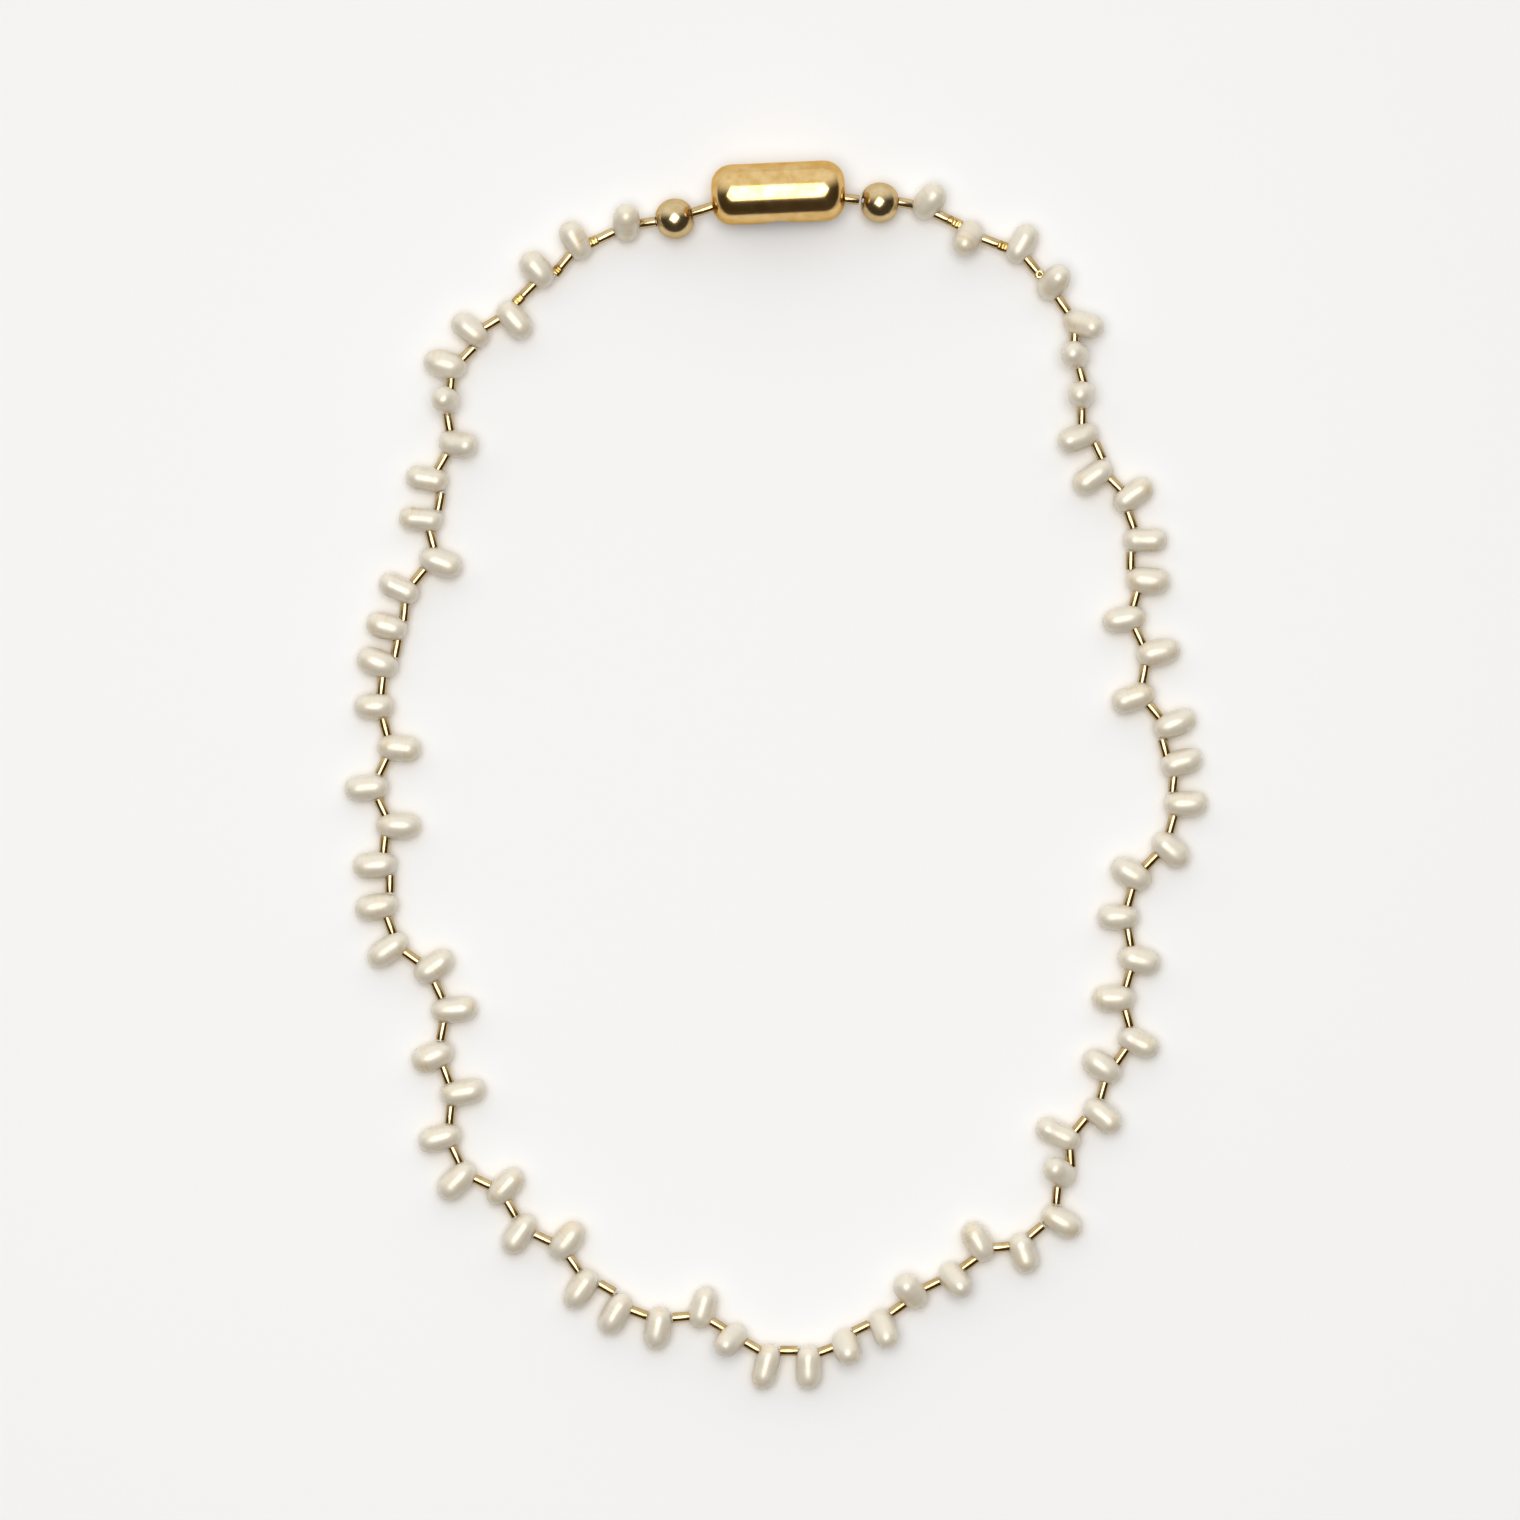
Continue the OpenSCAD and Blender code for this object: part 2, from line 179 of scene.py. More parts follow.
def new_piece(name: str, mesh: Mesh) -> Object:
    """Puts a mesh into the scene as an object at the origin."""
    obj = bpy.data.objects.new(name, mesh)
    bpy.context.scene.collection.objects.link(obj)
    return obj


def as_mesh(bm: bmesh.types.BMesh, name: str) -> Mesh:
    """Turns a bmesh into a mesh, and frees it."""
    mesh = bpy.data.meshes.new(name)
    bm.to_mesh(mesh)
    bm.free()
    return mesh


def lathe(profile: list[tuple[float, float]], steps: int) -> Mesh:
    """Turns a closed outline about Z.

    Args:
        profile: (radius, height) points of the outline, in order, none of them on the axis.
        steps: how many faces go round.

    Returns:
        The turned mesh, with its faces pointing outwards.
    """
    bm = bmesh.new()
    rings = [
        [bm.verts.new((r * math.cos(a), r * math.sin(a), z)) for r, z in profile]
        for a in (2 * math.pi * k / steps for k in range(steps))
    ]
    count = len(profile)
    for k in range(steps):
        here, there = rings[k], rings[(k + 1) % steps]
        for i in range(count):
            j = (i + 1) % count
            bm.faces.new((here[i], there[i], there[j], here[j]))
    bmesh.ops.recalc_face_normals(bm, faces=bm.faces)
    return as_mesh(bm, "turned")


def placed(mesh: Mesh, at: Array, axes: Array) -> Mesh:
    """Turns a mesh to three axes, given as rows, and moves it to a place."""
    matrix = Matrix([[*axes[:, i], at[i]] for i in range(3)] + [[0, 0, 0, 1]])
    mesh.transform(matrix)
    return mesh


def smooth(mesh: Mesh, angle: float = 40) -> None:
    """Shades a mesh smooth, but for edges sharper than an angle in degrees."""
    mesh.polygons.foreach_set("use_smooth", [True] * len(mesh.polygons))
    mesh.set_sharp_from_angle(angle=math.radians(angle))


def baked(obj: Object) -> Mesh:
    """The object's mesh with its modifiers worked out, as a plain mesh of its own."""
    graph = bpy.context.evaluated_depsgraph_get()
    return bpy.data.meshes.new_from_object(obj.evaluated_get(graph), depsgraph=graph)


# ---------------------------------------------------------------------------- finishes


def blank_material(name: str) -> tuple[Material, Any, Socket]:
    """Starts a material.

    Args:
        name: the material's name.

    Returns:
        The material, its emptied tree, and the socket with the object's own coordinates.
    """
    made = bpy.data.materials.new(name)
    made.use_nodes = True
    tree = made.node_tree
    tree.nodes.clear()
    return made, tree, add_node(tree, "ShaderNodeTexCoord").outputs["Object"]


def noise(
    tree: Any, place: Socket, size_mm: float, detail: float, roughness: float = 0.5
) -> Socket:
    """Adds a cloudy noise.

    Args:
        tree: the material's tree.
        place: the socket with the place where it is read.
        size_mm: about how large one cloud is.
        detail: how many finer layers it has.
        roughness: how strong the finer layers are.

    Returns:
        The socket with its value, mostly between 0.3 and 0.7.
    """
    inputs = {"Vector": place, "Scale": 1 / (size_mm * MM), "Detail": detail, "Roughness": roughness}
    return add_node(tree, "ShaderNodeTexNoise", inputs).outputs["Fac"]


def ramp(tree: Any, value: Socket, stops: dict[float, str]) -> Socket:
    """Turns a value into a colour.

    Args:
        tree: the material's tree.
        value: the socket with the value.
        stops: the sRGB hex colour at each value, two or more, in rising order.

    Returns:
        The socket with the colour.
    """
    node = add_node(tree, "ShaderNodeValToRGB", {"Fac": value})
    elements = node.color_ramp.elements
    first, *between, last = stops
    elements[0].position, elements[1].position = first, last
    for position in between:
        elements.new(position)
    for element, code in zip(elements, stops.values()):
        element.color = linear(code)
    return node.outputs["Color"]


def spread(
    tree: Any, value: Socket, low: float, high: float, to_low: float, to_high: float
) -> Socket:
    """Stretches a value from the range low to high into another, and stops at the ends."""
    inputs = {"Value": value, "From Min": low, "From Max": high, "To Min": to_low, "To Max": to_high}
    return add_node(tree, "ShaderNodeMapRange", inputs).outputs["Result"]


def mixed(tree: Any, amount: Any, first: Any, second: Any, blend: str = "MIX") -> Socket:
    """Mixes two colours. An amount of 0 is the first alone."""
    inputs = {0: amount, 6: first, 7: second}
    return add_node(tree, "ShaderNodeMix", inputs, data_type="RGBA", blend_type=blend).outputs[2]


def bump(tree: Any, height: Any, strength: float, depth_mm: float) -> Socket:
    """Tilts the surface's shading by a height of 0 to 1 that stands for a depth."""
    inputs = {"Height": height, "Strength": strength, "Distance": depth_mm * MM}
    return add_node(tree, "ShaderNodeBump", inputs).outputs["Normal"]


def surfaced(made: Material, inputs: dict[str, Any]) -> Material:
    """Ends a material with its surface shader and gives it back."""
    skin = add_node(made.node_tree, "ShaderNodeBsdfPrincipled", inputs)
    add_node(made.node_tree, "ShaderNodeOutputMaterial", {"Surface": skin})
    return made


@dataclass(frozen=True)
class Nacre:
    """Freshwater pearl nacre, grown in thin layers and tumbled to a lustre.

    Gives the eye a soft cream glow with a broad, silky highlight. A little light goes in and
    spreads, a thin clear skin adds a tighter shine on top, and faint growth rings and pores
    break up the highlight's edge.
    """

    name: str = "nacre_grown_and_tumbled"
    cream: str = "#E5DCC9"
    grey: str = "#E0D8C8"
    warm: str = "#E1D2B5"
    ring: str = "#E3DCD0"
    patch_mm: float = 3.2
    pore_mm: float = 1.1
    ring_mm: float = 0.3
    relief_mm: float = 0.018
    glow_mm: float = 0.6

    def build(self) -> Material:
        """Makes the Blender material."""
        made, tree, place = blank_material(self.name)
        patches = noise(tree, place, self.patch_mm, 2.0, 0.55)
        body = ramp(tree, patches, {0.3: self.grey, 0.52: self.cream, 0.72: self.warm})
        along = add_node(tree, "ShaderNodeAttribute", attribute_name="along").outputs["Fac"]
        rings = add_node(
            tree,
            "ShaderNodeTexNoise",
            {"W": along, "Scale": 1 / self.ring_mm, "Detail": 3.0, "Roughness": 0.6},
            noise_dimensions="1D",
        ).outputs["Fac"]
        # Where a ring closes, its edge is a thin darker line, clear on some parts of a pearl and
        # nearly absent on others.
        lines = ramp(tree, rings, {0.4: self.ring, 0.5: "#FFFFFF"})
        shown = spread(tree, patches, 0.42, 0.68, 0.03, 0.3)
        pores = noise(tree, place, self.pore_mm, 2.0)
        relief = add_node(tree, "ShaderNodeMix", {0: 0.2, 2: rings, 3: pores}, data_type="FLOAT")
        return surfaced(
            made,
            {
                "Base Color": mixed(tree, shown, body, lines, "MULTIPLY"),
                "Roughness": spread(tree, pores, 0.3, 0.7, 0.33, 0.42),
                "Normal": bump(tree, relief, 0.1, self.relief_mm),
                "Metallic": 0.2,
                "Subsurface Weight": 0.25,
                "Subsurface Radius": (1.0, 0.85, 0.65),
                "Subsurface Scale": self.glow_mm * MM,
                "Coat Weight": 0.35,
                "Coat Roughness": 0.17,
                "Coat IOR": 1.6,
                "Sheen Weight": 0.06,
                "Sheen Roughness": 0.4,
            },
        )


class GoldWork(Enum):
    """How a gold-plated piece was shaped, which sets the marks on it."""

    DRAWN = "drawn"
    SPUN = "spun"
    ROLLED = "rolled"
    PRESSED = "pressed"


@dataclass(frozen=True)
class GoldPlate:
    """Gold plate on brass, polished after shaping.

    Gives the eye a warm metal mirror, bright where it faces the light and dark where it faces
    the room. Hairlines soften what it shows, shallow waves from the shaping bend it, and the
    colour drifts a little between pale and deep. The rim is its colour at a glancing angle.
    """

    work: GoldWork
    pale: str
    deep: str
    roughness: float
    rim: str = "#E3D2B0"
    cloud_mm: float = 1.7
    hairline_mm: float = 0.15
    wave_mm: float = 2.0
    wave_depth_mm: float = 0.003

    def build(self) -> Material:
        """Makes the Blender material."""
        made, tree, place = blank_material(f"gold_plate_{self.work.value}_and_polished")
        clouds = noise(tree, place, self.cloud_mm, 3.0, 0.55)
        hairs = noise(tree, place, self.hairline_mm, 2.0)
        waves = noise(tree, place, self.wave_mm, 1.0)
        polished, worn = self.roughness * 0.85, self.roughness * 1.3
        return surfaced(
            made,
            {
                "Base Color": ramp(tree, clouds, {0.32: self.deep, 0.62: self.pale}),
                "Metallic": 1.0,
                "Specular Tint": linear(self.rim),
                "Roughness": spread(tree, hairs, 0.3, 0.75, polished, worn),
                "Normal": bump(tree, waves, 0.5, self.wave_depth_mm),
            },
        )


@dataclass(frozen=True)
class BeadingWire:
    """Fine steel wire, stranded and nylon-coated.

    Gives the eye a thin bronze-grey line with a soft clear shine and the strands' twist in it, with
    painted shade along the grooves between the strands.
    """

    name: str = "stranded_wire_nylon_coated"
    steel: str = "#8F8678"
    painted_groove_shade: str = "#5E564B"
    twist_mm: float = 0.72

    def build(self) -> Material:
        """Makes the Blender material."""
        made, tree, place = blank_material(self.name)
        # The twist's bands mix the steel colour with a darker one: painted shade where the grooves
        # between the strands lie.
        twist = add_node(
            tree,
            "ShaderNodeTexWave",
            {"Vector": place, "Scale": 1 / (self.twist_mm * MM), "Distortion": 0.6},
            bands_direction="DIAGONAL",
        ).outputs["Fac"]
        return surfaced(
            made,
            {
                "Base Color": mixed(tree, twist, linear(self.painted_groove_shade), linear(self.steel)),
                "Metallic": 1.0,
                "Roughness": 0.34,
                "Coat Weight": 0.6,
                "Coat Roughness": 0.1,
                "Normal": bump(tree, twist, 0.4, 0.02),
            },
        )


@dataclass(frozen=True)
class TableTop:
    """White card, pressed matt.

    Gives the eye an even white ground with a faint grain. Close under a pearl or a gold piece it is
    painted slightly warm: a painted warm shade that stands in for the light that came through the
    piece and off it.
    """

    name: str = "matt_white_card"
    white: str = "#F4F4F4"
    # glow is a painted warm shade, laid on the card close under the pieces.
    glow: str = "#F4EEE3"
    grain_mm: float = 0.6
    painted_warmth_reach_mm: float = 2.2

    def build(self) -> Material:
        """Makes the Blender material."""
        made, tree, place = blank_material(self.name)
        grain = noise(tree, place, self.grain_mm, 3.0)
        open_sky = add_node(
            tree,
            "ShaderNodeAmbientOcclusion",
            {"Distance": self.painted_warmth_reach_mm * MM},
            samples=4,
        ).outputs["AO"]
        # Where ambient occlusion is low, close under a piece, the card takes the glow colour:
        # painted warm shade standing in for bounced light.
        away = spread(tree, open_sky, 0.35, 0.95, 0.0, 1.0)
        return surfaced(
            made,
            {
                "Base Color": mixed(tree, away, linear(self.glow), linear(self.white)),
                "Roughness": 0.8,
                "Specular IOR Level": 0.2,
                "Normal": bump(tree, grain, 0.05, 0.02),
            },
        )


class Finishes:
    """Every material of the object, made once."""

    def __init__(self) -> None:
        """Makes the materials."""
        self.nacre = Nacre().build()
        self.drawn = GoldPlate(GoldWork.DRAWN, "#D3BA8E", "#BC9F70", 0.17).build()
        self.spun = GoldPlate(
            GoldWork.SPUN, "#DBC397", "#CBB180", 0.2, wave_mm=1.4, wave_depth_mm=0.006
        ).build()
        self.rolled = GoldPlate(
            GoldWork.ROLLED, "#E6C489", "#D6AD69", 0.17, "#EAD3A4", wave_mm=3.0, wave_depth_mm=0.012
        ).build()
        self.pressed = GoldPlate(
            GoldWork.PRESSED, "#D9B878", "#A8844A", 0.22, wave_mm=0.7, wave_depth_mm=0.03
        ).build()
        self.wire = BeadingWire().build()


# ---------------------------------------------------------------------------- reading the model


@dataclass(eq=False)
class Rod:
    """A straight round solid of the model: its middle, its way, its length and its width."""

    mid: Array
    way: Array
    length: float
    width: float
    node: str

    @classmethod
    def read(cls, points: Array, node: str) -> "Rod":
        """Measures a rod from the corner points of its solid."""
        middle = (points.min(0) + points.max(0)) / 2
        spread, axes = np.linalg.eigh(np.cov((points - middle).T))
        # The odd one out of the three spreads is the axis: longest for a tube, shortest for a ring.
        way = axes[:, 2] if spread[2] - spread[1] > spread[1] - spread[0] else axes[:, 0]
        along = (points - middle) @ way
        middle = middle + way * (along.max() + along.min()) / 2
        across = (points - middle) - np.outer((points - middle) @ way, way)
        middle = middle + (across.max(0) + across.min(0)) / 2
        across = across - (across.max(0) + across.min(0)) / 2
        width = 2 * float(np.linalg.norm(across, axis=1).max())
        return cls(middle, way, float(np.ptp(along)), width, node)

    def ends(self) -> list[Array]:
        """The middles of the two ends."""
        return [self.mid - self.way * self.length / 2, self.mid + self.way * self.length / 2]


@dataclass(eq=False)
class PearlShape:
    """One pearl of the model: its middle, its long way, its sizes and its drill hole."""

    mid: Array
    way: Array
    half_length: float
    half_width: float
    node: str
    mouths: list[Array] = field(default_factory=list)
    seats: list[tuple[Array, Array, float]] = field(default_factory=list)
    number: int = 0

    @classmethod
    def read(cls, points: Array, node: str) -> "PearlShape":
        """Measures a pearl from the corner points of its solid."""
        tip = points[np.argmax(np.linalg.norm(points - points.mean(0), axis=1))]
        tail = points[np.argmax(np.linalg.norm(points - tip, axis=1))]
        middle, way = (tip + tail) / 2, unit(tip - tail)
        local = points - middle
        across = np.linalg.norm(local - np.outer(local @ way, way), axis=1)
        return cls(middle, way, float(np.linalg.norm(tip - tail)) / 2, float(across.max()), node)

    def depth(self, point: Array) -> float:
        """How far out a point is: 1 on the pearl's skin, less inside."""
        local = point - self.mid
        along = abs(float(local @ self.way))
        across = float(np.linalg.norm(local - (local @ self.way) * self.way))
        parts = (along / self.half_length, across / self.half_width)
        return sum(part**OVAL_POWER for part in parts) ** (1 / OVAL_POWER)


@dataclass
class Strand:
    """The strand in stringing order, as found in the model."""

    pearls: list[PearlShape] = field(default_factory=list)
    tubes: list[Rod] = field(default_factory=list)

    def read(self) -> None:
        """Finds every pearl and tube, and puts them in order from the left ball."""
        for node in CAD_NODES:
            if node.startswith("pearls_"):
                self.pearls += [PearlShape.read(points, node) for points in solids_of(node)]
            elif node.startswith("tubes_"):
                self.tubes += [Rod.read(points, node) for points in solids_of(node)]
        here = middle_of("left_ball")
        order: list[PearlShape] = []
        tubes: list[Rod] = []
        left_pearls, left_tubes = list(self.pearls), list(self.tubes)
        while left_tubes:
            tube = min(left_tubes, key=lambda t: min(np.linalg.norm(e - here) for e in t.ends()))
            left_tubes.remove(tube)
            near, far = sorted(tube.ends(), key=lambda e: float(np.linalg.norm(e - here)))
            tube.way = unit(far - near)
            if order:
                order[-1].mouths.append(self.mouth(order[-1], near, near - far))
                order[-1].seats.append(self.seat(order[-1], tube, near, near - far))
            tubes.append(tube)
            if not left_pearls:
                break
            pearl = min(left_pearls, key=lambda p: self.reach(p, far, far - near))
            left_pearls.remove(pearl)
            pearl.number = len(order) + 1
            pearl.mouths.append(self.mouth(pearl, far, far - near))
            pearl.seats.append(self.seat(pearl, tube, far, far - near))
            order.append(pearl)
            here = pearl.mouths[0]
        self.pearls, self.tubes = order, tubes

    @staticmethod
    def reach(pearl: PearlShape, end: Array, way: Array) -> float:
        """How near a pearl is to the straight line out of a tube's end, less for the nearest."""
        tries_mm = (0.0, 0.3, 0.6, 1.0, 1.4, 1.9)
        return min(pearl.depth(end + unit(way) * t * MM) * 3 + t for t in tries_mm)

    @staticmethod
    def seat(pearl: PearlShape, tube: Rod, end: Array, inwards: Array) -> tuple[Array, Array, float]:
        """Room for a tube's end in a pearl, wider where the strand bends.

        Args:
            pearl: the pearl.
            tube: the tube beside it. A bend is where the two ride on different bodies.
            end: the middle of the tube's end.
            inwards: the way from that end into the tube's other end, or into the pearl.

        Returns:
            The middle, the way and the width of the bar that cuts the seat.
        """
        bends = tube.node.removeprefix("tubes_") != pearl.node.removeprefix("pearls_")
        depth_mm, side_mm = (0.22, 0.19) if bends else (0.05, 0.07)
        way = unit(inwards)
        middle = end + way * (depth_mm - SEAT_MM / 2) * MM
        return middle, way, tube.width + 2 * side_mm * MM

    @staticmethod
    def mouth(pearl: PearlShape, end: Array, way: Array) -> Array:
        """Where the straight line out of a tube's end enters a pearl."""
        for t in np.arange(0, 2.6, 0.05):
            point = end + unit(way) * t * MM
            if pearl.depth(point) <= 1:
                return point
        return end


# ---------------------------------------------------------------------------- geometry node trees


@dataclass
class NodeRecipe:
    """A geometry node tree with named inputs, run once on an object and turned into a mesh."""

    tree: bpy.types.NodeTree

    @classmethod
    def blank(cls, name: str, inputs: list[tuple[str, str, Any]]) -> "NodeRecipe":
        """Starts a tree with geometry in and out, and inputs of (name, socket kind, default)."""
        tree = bpy.data.node_groups.new(name, "GeometryNodeTree")
        tree.interface.new_socket("Geometry", in_out="INPUT", socket_type="NodeSocketGeometry")
        for label, kind, default in inputs:
            made = tree.interface.new_socket(label, in_out="INPUT", socket_type=kind)
            if default is not None:
                made.default_value = default
        tree.interface.new_socket("Geometry", in_out="OUTPUT", socket_type="NodeSocketGeometry")
        return cls(tree)

    def run(self, points: Object, values: dict[str, Any]) -> Mesh:
        """Runs the tree on an object.

        Args:
            points: the object whose vertices the tree works on. It is removed afterwards.
            values: a value for each named input that is set.

        Returns:
            The result as a plain mesh.
        """
        modifier = points.modifiers.new("recipe", "NODES")
        modifier.node_group = self.tree
        for item in self.tree.interface.items_tree:
            if item.item_type == "SOCKET" and item.in_out == "INPUT" and item.name in values:
                modifier[item.identifier] = values[item.name]
        mesh = baked(points)
        points.modifiers.remove(modifier)
        bpy.data.objects.remove(points)
        return mesh


def point_cloud(name: str, places: Array, facts: dict[str, tuple[str, Array]]) -> Object:
    """Loose vertices with a value or vector each, for a node tree to work on.

    Args:
        name: the object's name.
        places: one point a row.
        facts: for each attribute's name, its data type and one value a point.

    Returns:
        The new object.
    """
    mesh = bpy.data.meshes.new(name)
    mesh.from_pydata([tuple(p) for p in places], [], [])
    for label, (kind, values) in facts.items():
        attribute = mesh.attributes.new(label, kind, "POINT")
        attribute.data.foreach_set("vector" if kind == "FLOAT_VECTOR" else "value", np.ravel(values))
    return new_piece(name, mesh)


VECTOR_FACTS = (
    "mid", "side", "up", "long", "hole", "drill", "seat_in", "way_in", "seat_out", "way_out",
)
NUMBER_FACTS = (
    "half_length", "half_width", "waist", "skew", "seed", "bit_length", "wide_in", "wide_out",
)
PEARL_FACTS = dict.fromkeys(VECTOR_FACTS, "FLOAT_VECTOR") | dict.fromkeys(NUMBER_FACTS, "FLOAT")


def pearl_skin(tree: Any, group: Any, named: dict[str, Any]) -> tuple[Any, Any]:
    """Works out where each point of a round bead goes on its pearl.

    Args:
        tree: the pearls' tree.
        group: the sockets of the tree's inputs.
        named: the nodes of the pearls' attributes.

    Returns:
        The node with the point's place, and the socket with its distance along the pearl in mm.
    """
    times, plus, minus = (partial(calc, tree, word) for word in ("MULTIPLY", "ADD", "SUBTRACT"))
    bead = add_node(tree, "ShaderNodeSeparateXYZ", {"Vector": named["bead"]}).outputs
    across = {"X": bead["X"], "Y": bead["Y"]}
    flat = add_node(tree, "ShaderNodeCombineXYZ", across)
    out = add_node(tree, "ShaderNodeVectorMath", {0: flat}, operation="LENGTH").outputs["Value"]
    full_out = calc(tree, "POWER", out, group["Fullness"])
    full_up = calc(tree, "POWER", calc(tree, "ABSOLUTE", bead["Z"]), group["Fullness"])
    rise = times(full_up, calc(tree, "SIGN", bead["Z"]))
    # A waist is a soft dip round the middle, exp(-(z / WAIST_SPREAD)^2).
    step = calc(tree, "DIVIDE", bead["Z"], WAIST_SPREAD)
    fall = times(times(step, step), -1.0)
    waisted = times(calc(tree, "EXPONENT", fall), named["waist"])
    skewed = times(bead["Z"], named["skew"])
    thick = plus(minus(1.0, waisted), skewed)
    radius = times(times(full_out, thick), named["half_width"])
    # Lumps and rings are mostly cut in, so the pearl keeps inside its own length and width.
    lumps = add_node(
        tree,
        "ShaderNodeTexNoise",
        {"Vector": named["bead"], "W": named["seed"], "Scale": 0.9, "Detail": 1.0},
        noise_dimensions="4D",
    ).outputs["Fac"]
    lump = times(minus(lumps, 0.62), group["Lump Height"])
    ring_at = plus(times(bead["Z"], 5.0), named["seed"])
    layers = {"W": ring_at, "Scale": 1.0, "Detail": 2.0}
    rings = add_node(tree, "ShaderNodeTexNoise", layers, noise_dimensions="1D").outputs["Fac"]
    ring = times(minus(rings, 0.6), group["Ring Height"])
    relief = times(plus(lump, ring), full_out)
    radius = plus(radius, relief)
    away = add_node(tree, "ShaderNodeVectorMath", {0: flat}, operation="NORMALIZE")
    turn = add_node(tree, "ShaderNodeSeparateXYZ", {"Vector": away}).outputs
    x = times(turn["X"], radius)
    y = times(turn["Y"], radius)
    z = times(rise, named["half_length"])
    place = named["mid"]
    for amount, axis in ((x, "side"), (y, "up"), (z, "long")):
        scaled = {0: named[axis], "Scale": amount}
        moved = add_node(tree, "ShaderNodeVectorMath", scaled, operation="SCALE")
        place = add_node(tree, "ShaderNodeVectorMath", {0: place, 1: moved}, operation="ADD")
    along = plus(times(z, 1 / MM), named["seed"])
    return place, along


def pearl_bits(tree: Any, group: Any, named: dict[str, Any]) -> list[Socket]:
    """Makes the bars that cut every pearl's drill hole and its two seats.

    Args:
        tree: the pearls' tree.
        group: the sockets of the tree's inputs.
        named: the nodes of the pearls' attributes.

    Returns:
        Three sockets with bars. No two bars of the same socket touch.
    """
    bar = add_node(tree, "GeometryNodeMeshCylinder", {"Vertices": 28, "Radius": 0.5, "Depth": 1.0})
    bits = []
    for at, way, wide, length in (
        ("hole", "drill", group["Drill Width"], named["bit_length"]),
        ("seat_in", "way_in", named["wide_in"], SEAT_MM * MM),
        ("seat_out", "way_out", named["wide_out"], SEAT_MM * MM),
    ):
        moved = {"Geometry": group["Geometry"], "Position": named[at]}
        spots = add_node(tree, "GeometryNodeSetPosition", moved)
        aimed = add_node(tree, "FunctionNodeAlignRotationToVector", {"Vector": named[way]}, axis="Z")
        stretch = add_node(tree, "ShaderNodeCombineXYZ", {"X": wide, "Y": wide, "Z": length})
        bars = add_node(
            tree,
            "GeometryNodeInstanceOnPoints",
            {"Points": spots, "Instance": bar, "Rotation": aimed, "Scale": stretch},
        )
        cutters = add_node(tree, "GeometryNodeRealizeInstances", {"Geometry": bars})
        bits.append(cutters.outputs["Geometry"])
    return bits


def pearl_recipe() -> NodeRecipe:
    """The tree that grows pearls: full ovals with a waist, lumps and growth rings, then drilled."""
    recipe = NodeRecipe.blank(
        "grow_and_drill_pearls",
        [
            ("Fullness", "NodeSocketFloat", 0.86),
            ("Ring Height", "NodeSocketFloat", 0.012 * MM),
            ("Lump Height", "NodeSocketFloat", 0.13 * MM),
            ("Drill Width", "NodeSocketFloat", 0.8 * MM),
            ("Segments", "NodeSocketInt", 56),
            ("Nacre", "NodeSocketMaterial", None),
        ],
    )
    tree = recipe.tree
    group = add_node(tree, "NodeGroupInput").outputs
    named = {
        label: add_node(tree, "GeometryNodeInputNamedAttribute", {"Name": label}, data_type=kind)
        for label, kind in ({"bead": "FLOAT_VECTOR"} | PEARL_FACTS).items()
    }
    ball = add_node(
        tree, "GeometryNodeMeshUVSphere", {"Segments": group["Segments"], "Rings": 36, "Radius": 1.0}
    )
    marked = add_node(
        tree,
        "GeometryNodeStoreNamedAttribute",
        {"Geometry": ball, "Name": "bead", "Value": add_node(tree, "GeometryNodeInputPosition")},
        data_type="FLOAT_VECTOR",
        domain="POINT",
    )
    beads = {"Points": group["Geometry"], "Instance": marked}
    strung = add_node(tree, "GeometryNodeInstanceOnPoints", beads)
    grown = add_node(tree, "GeometryNodeRealizeInstances", {"Geometry": strung})
    place, along = pearl_skin(tree, group, named)
    shaped = add_node(tree, "GeometryNodeSetPosition", {"Geometry": grown, "Position": place})
    lined = add_node(
        tree,
        "GeometryNodeStoreNamedAttribute",
        {"Geometry": shaped, "Name": "along", "Value": along},
        data_type="FLOAT",
        domain="POINT",
    )
    drilled = add_node(tree, "GeometryNodeMeshBoolean", operation="DIFFERENCE", solver="EXACT")
    tree.links.new(lined.outputs["Geometry"], drilled.inputs["Mesh 1"])
    for bits in pearl_bits(tree, group, named):
        tree.links.new(bits, drilled.inputs["Mesh 2"])
    solid = add_node(tree, "GeometryNodeRealizeInstances", {"Geometry": drilled})
    dress(tree, solid, group["Nacre"])
    return recipe


def dress(tree: Any, solid: Any, finish: Socket) -> None:
    """Ends a tree: gives its realized geometry a material and hands it out."""
    dressed = add_node(tree, "GeometryNodeSetMaterial", {"Geometry": solid, "Material": finish})
    add_node(tree, "NodeGroupOutput", {"Geometry": dressed})


